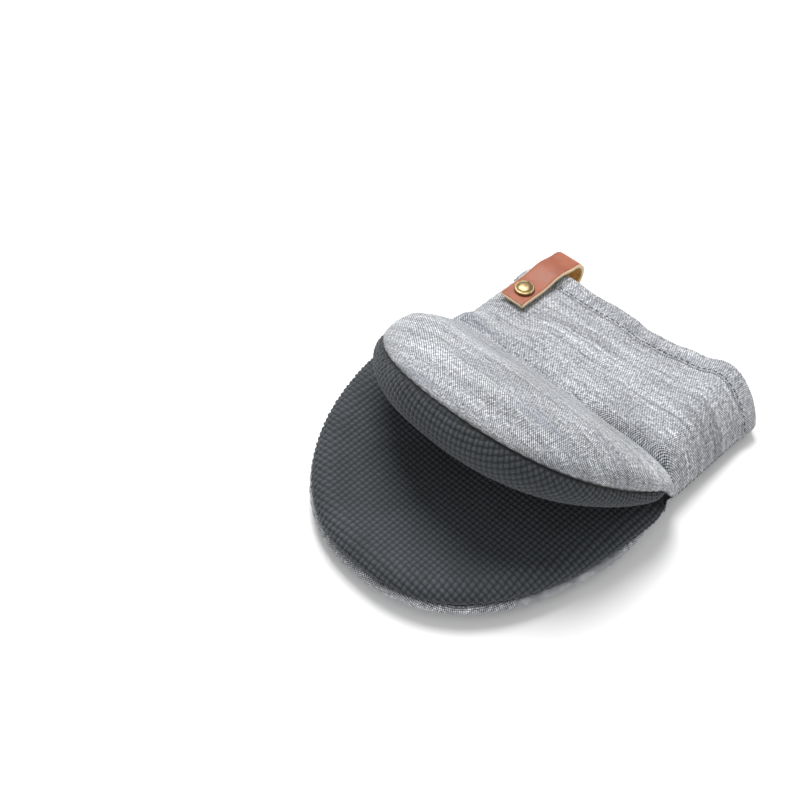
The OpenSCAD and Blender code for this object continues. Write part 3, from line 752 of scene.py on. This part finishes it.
def make_hem():
    top_rows, top_normal = edge_strip(top_outline, top_surface, CUFF_LEN - CUFF_SHIFT, 1)
    back_rows, back_normal = edge_strip(back_outline, back_surface, CUFF_LEN, -1)
    rows = np.concatenate([top_rows, back_rows[:, ::-1]], axis=1)
    normal = np.concatenate([top_normal, back_normal[::-1]])
    count = len(normal)
    along = np.concatenate([[0], np.cumsum(np.linalg.norm(np.diff(rows[2], axis=0), axis=1))])
    pucker = 0.12 * np.sin(2 * math.pi * along / 3.4) + 0.16 * ripple(
        np.column_stack([along, along * 0]), (4.5, 9), 4.4)
    rings = [hem_point(rows, normal, section, pucker) for section in HEM_SECTION]
    m = len(rings)
    points = np.vstack(rings)
    faces, uvs = [], []
    across = [k * HEM + beyond + height for k, beyond, height in HEM_SECTION]
    for r in range(m):
        for c in range(count):
            d = (c + 1) % count
            here, there = r * count, (r + 1) % m * count
            faces.append((here + c, here + d, there + d, there + c))
        uvs.append(np.column_stack([along, np.full(count, across[r])]))
    hem = mesh_piece("cuff_binding", to_world(points), faces, [chambray_across], uv=np.vstack(uvs) * MM)
    return hem, rows, normal


def outward_faces(piece):
    """Turns a closed piece's faces to look outwards."""
    b = bmesh.new()
    b.from_mesh(piece.data)
    bmesh.ops.recalc_face_normals(b, faces=b.faces)
    b.to_mesh(piece.data)
    b.free()
    return piece


# ---- Stitches ------------------------------------------------------------------------------

def stitch_row(name, line, up, pitch, length, thick, material):
    """Short rounded stitches laid along a line of points, each pressed in at its two ends."""
    steps = np.linalg.norm(np.diff(line, axis=0), axis=1)
    along = np.concatenate([[0], np.cumsum(steps)])
    points, faces = [], []
    sides, stations = 8, 7
    for k in range(int((along[-1] - length) / pitch) + 1):
        t = np.linspace(0, 1, stations)
        at = k * pitch + t * length
        middle = np.column_stack([np.interp(at, along, line[:, i]) for i in range(3)])
        over = np.column_stack([np.interp(at, along, up[:, i]) for i in range(3)])
        over /= np.linalg.norm(over, axis=1)[:, None]
        run = np.gradient(middle, axis=0)
        run /= np.linalg.norm(run, axis=1)[:, None]
        side = np.cross(run, over)
        radius = thick / 2 * np.sqrt(np.clip(1 - (2 * t - 1) ** 4, 0.03, 1))
        middle = middle + over * (thick * 0.35 * np.sin(math.pi * t) - 0.1)[:, None]
        base = len(points)
        for i in range(stations):
            for a in np.linspace(0, 2 * math.pi, sides, endpoint=False):
                points.append(middle[i] + radius[i] * (math.cos(a) * side[i] + math.sin(a) * over[i]))
        for i in range(stations - 1):
            for j in range(sides):
                n = (j + 1) % sides
                faces.append((base + i * sides + j, base + i * sides + n,
                              base + (i + 1) * sides + n, base + (i + 1) * sides + j))
        faces.append(tuple(base + j for j in range(sides))[::-1])
        faces.append(tuple(base + (stations - 1) * sides + j for j in range(sides)))
    return mesh_piece(name, to_world(points), faces, [material])


def seam_line(outline, surface, low, high, out):
    """A seam's line on the mitt, from its right end round to its left, and its outward side."""
    y = outline.points[:, 1]
    pick = np.arange(len(y))[(y >= low) & (y <= high)][::3]
    line = surface(outline.flat[pick], outline, pick, np.zeros(len(pick)))
    normal = np.column_stack([outline.normal[pick], np.zeros(len(pick))])
    return line + normal * out, normal


def make_stitches(hem_rows, hem_normal):
    made = []
    # Partly painted shade: the finger and thumb seam threads are real stitches, set dark and almost end to
    # end in the groove so that they also stand for the seam's shade line.
    line, up = seam_line(finger_outline, finger_pad_surface, -200, -6, -0.1)
    made.append(("finger_seam_thread", line, up, "finger_pocket", "finger_seam_stitches"))
    line, up = seam_line(thumb_outline, thumb_pad_surface, -200, -6, -0.25)
    made.append(("thumb_seam_thread", line, up, "thumb_pocket", "thumb_seam_stitches"))
    for name, line, up, body, node in made:
        piece = stitch_row(name, line, up, 2.2, 1.8, 0.4, thread)
        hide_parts(node)
        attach(piece, body)
    rows, half = hem_rows, len(hem_normal) // 2
    base = rows[0] + (rows[1] - rows[0]) * 0.30 + hem_normal * 0.62
    clear = base[:, 0] > STRAP_HIGH[0] + 1.5
    for name, part in (("top", slice(0, half)), ("back", slice(half, None))):
        keep = clear[part]
        piece = stitch_row("binding_thread_" + name, base[part][keep], hem_normal[part][keep],
                           3.1, 2.3, 0.42, thread)
        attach(piece, "cuff")
        if name == "top":
            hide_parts("binding_stitches")
    for side, name in ((1, "right"), (-1, "left")):
        v = np.linspace(6, CUFF_LEN - HEM - 2, 60)
        p = np.column_stack([side * (side_width(HALF_W, v) + back_outline.spare), v])
        index, _ = back_outline.nearest(p)
        line = back_surface(p, back_outline, index, np.zeros(len(p)))
        up = np.column_stack([back_outline.normal[index], np.zeros(len(p))])
        piece = stitch_row("side_seam_thread_" + name, line, up, 2.6, 1.9, 0.4, thread)
        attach(piece, "cuff")
        if name == "right":
            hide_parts("side_seam_stitches")


hem, hem_rows, hem_normal = make_hem()
outward_faces(hem)
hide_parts("binding_top", "binding_back")
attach(hem, "cuff")
make_stitches(hem_rows, hem_normal)

# ---- Strap and rivet -----------------------------------------------------------------------

STRAP_T = 2.0
LOOP_R = 7.0
ARCH = 1.6                     # how far the strap rises between the rivet and its loop


def strap_path():
    """The strap's middle line in Y and Z: along the top, round the loop and back below."""
    top = STRAP_HIGH[2] - STRAP_T / 2
    loop_y = STRAP_HIGH[1] - LOOP_R - STRAP_T / 2
    loop_z = top - LOOP_R
    leg_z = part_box("rivet_back_cap")[1][2] / MM + 0.2 + STRAP_T / 2
    end = STRAP_LOW[1]
    fall_from, fall_to = RIVET[1] + 5.2, FOLD_Y + CUFF_LEN - HEM - 2
    arch_from = RIVET[1] + 6
    path = []
    for y in np.linspace(end, loop_y - 1, 40):
        arch = math.sin(math.pi * float(unit((y - arch_from) / (loop_y - arch_from)))) ** 2
        path.append((y, top + ARCH * arch))
    for a in np.linspace(math.pi / 2, -math.pi / 2, 30):
        path.append((loop_y + LOOP_R * math.cos(a), loop_z + LOOP_R * math.sin(a)))
    path += [(y, loop_z - LOOP_R) for y in np.linspace(loop_y - 1.5, fall_to + 1.5, 8)]
    for k in np.linspace(1, 0, 16):
        path.append((fall_from + (fall_to - fall_from) * k,
                     leg_z + (loop_z - LOOP_R - leg_z) * float(smooth(k))))
    path += [(y, leg_z) for y in np.linspace(fall_from - 1.2, end, 12)]
    return np.array(path)


def make_strap():
    path = strap_path()
    run = np.gradient(path, axis=0)
    run /= np.linalg.norm(run, axis=1)[:, None]
    off = np.column_stack([-run[:, 1], run[:, 0]])
    middle_x = (STRAP_LOW[0] + STRAP_HIGH[0]) / 2
    half = (STRAP_HIGH[0] - STRAP_LOW[0]) / 2
    t = STRAP_T / 2
    flat = np.linspace(-half + 0.4, half - 0.4, 9)
    section = [(x, t - 0.12 * (x / half) ** 2) for x in flat]
    section += [(half - 0.1, t - 0.4), (half, 0), (half - 0.1, 0.4 - t)]
    section += [(x, -t) for x in flat[::-1]]
    section += [(0.1 - half, 0.4 - t), (-half, 0), (0.1 - half, t - 0.4)]
    m, count = len(section), len(path)
    edge = 0.18 * ripple(np.column_stack([path[:, 0], path[:, 1]]), (6, 6), 8.8)
    points = []
    for i in range(count):
        ends = 0.15 if i in (0, count - 1) else 0.0
        for x, h in section:
            points.append((middle_x + (x + np.sign(x) * edge[i] * abs(x) / half) * (1 - ends / half),
                           path[i, 0] + off[i, 0] * h * (1 - ends),
                           path[i, 1] + off[i, 1] * h * (1 - ends)))
    faces, kinds = [], []
    for i in range(count - 1):
        for j in range(m):
            n = (j + 1) % m
            faces.append((i * m + j, i * m + n, (i + 1) * m + n, (i + 1) * m + j))
            kinds.append(0 if j < 8 else 1 if j >= 12 and j < 20 else 2)
    faces += [tuple(range(m))[::-1], tuple((count - 1) * m + j for j in range(m))]
    kinds += [2, 2]
    points = np.array(points) * MM
    sides = [leather_face(), leather_back(), leather_edge()]
    strap = mesh_piece("leather_strap", points, faces, sides, kinds)
    outward_faces(strap)
    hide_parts("hanging_strap")
    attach(strap, "hanging_strap")


def make_cap(name, node, face_z, up):
    """A rivet's head: a rolled rim round a shallow dome."""
    radius = (HIGH[node][0] - LOW[node][0]) / 2
    height = HIGH[node][2] - LOW[node][2]
    profile = [(0, 1.0), (0.2, 0.985), (0.42, 0.93), (0.6, 0.83), (0.72, 0.69), (0.79, 0.58),
               (0.83, 0.56), (0.88, 0.60), (0.94, 0.55), (0.985, 0.38), (1.0, 0.2), (0.97, 0.04),
               (0.9, 0.0)]
    points, faces = [(RIVET[0], RIVET[1], face_z + up * height)], []
    around = 64
    for r, h in profile[1:]:
        for a in np.linspace(0, 2 * math.pi, around, endpoint=False):
            points.append((RIVET[0] + radius * r * math.cos(a), RIVET[1] + radius * r * math.sin(a),
                           face_z + up * height * h))
    for j in range(around):
        n = (j + 1) % around
        faces.append((0, 1 + j, 1 + n))
        for i in range(len(profile) - 2):
            a, b = 1 + i * around, 1 + (i + 1) * around
            faces.append((a + j, b + j, b + n, a + n))
    faces.append(tuple(1 + (len(profile) - 2) * around + j for j in range(around)))
    cap = mesh_piece(name, np.array(points) * MM, faces, [brass])
    outward_faces(cap)
    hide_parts(node)
    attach(cap, "cuff")


make_strap()
make_cap("rivet_head", "rivet_cap", LOW["rivet_cap"][2], 1)
make_cap("rivet_back", "rivet_back_cap", HIGH["rivet_back_cap"][2], -1)
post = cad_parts["rivet_post"]
post.material_slots[0].material = brass

# ---- Stage ---------------------------------------------------------------------------------

def place_camera():
    """Looks down at the mitt from its right front, as the object is usually shown."""
    camera = bpy.data.objects.new("camera", bpy.data.cameras.new("camera"))
    bpy.context.collection.objects.link(camera)
    camera.location = Vector((245.5, FOLD_Y - 329.0, 471.9)) * MM
    target = Vector((-57.1, FOLD_Y - 28.6, 0.0)) * MM
    camera.rotation_euler = (target - camera.location).to_track_quat("-Z", "Y").to_euler()
    camera.data.lens = 63.0
    camera.data.sensor_width = 36.0
    camera.data.clip_start = 0.01
    bpy.context.scene.camera = camera


def area_light(name, place, size, power):
    light = bpy.data.objects.new(name, bpy.data.lights.new(name, "AREA"))
    bpy.context.collection.objects.link(light)
    light.location = place
    light.rotation_euler = (-Vector(place)).to_track_quat("-Z", "Y").to_euler()
    light.data.shape = "DISK"
    light.data.size = size
    light.data.energy = power


def make_stage():
    m = Nodes("pale_floor")
    m.finish((0.86, 0.86, 0.86, 1), 0.9)
    half = 3.0
    corners = [(-half, -half, 0), (half, -half, 0), (half, half, 0), (-half, half, 0)]
    floor = mesh_piece("floor", corners, [(0, 1, 2, 3)], [m.material])
    world = bpy.data.worlds.new("studio")
    bpy.context.scene.world = world
    world.use_nodes = True
    world.node_tree.nodes["Background"].inputs[0].default_value = (1, 1, 1, 1)
    world.node_tree.nodes["Background"].inputs[1].default_value = 0.55
    area_light("key", (-0.45, 0.30, 1.0), 0.6, 16.0)
    area_light("fill", (0.8, -0.6, 0.7), 0.9, 2.5)


place_camera()
make_stage()
bpy.context.scene.view_settings.view_transform = "Standard"
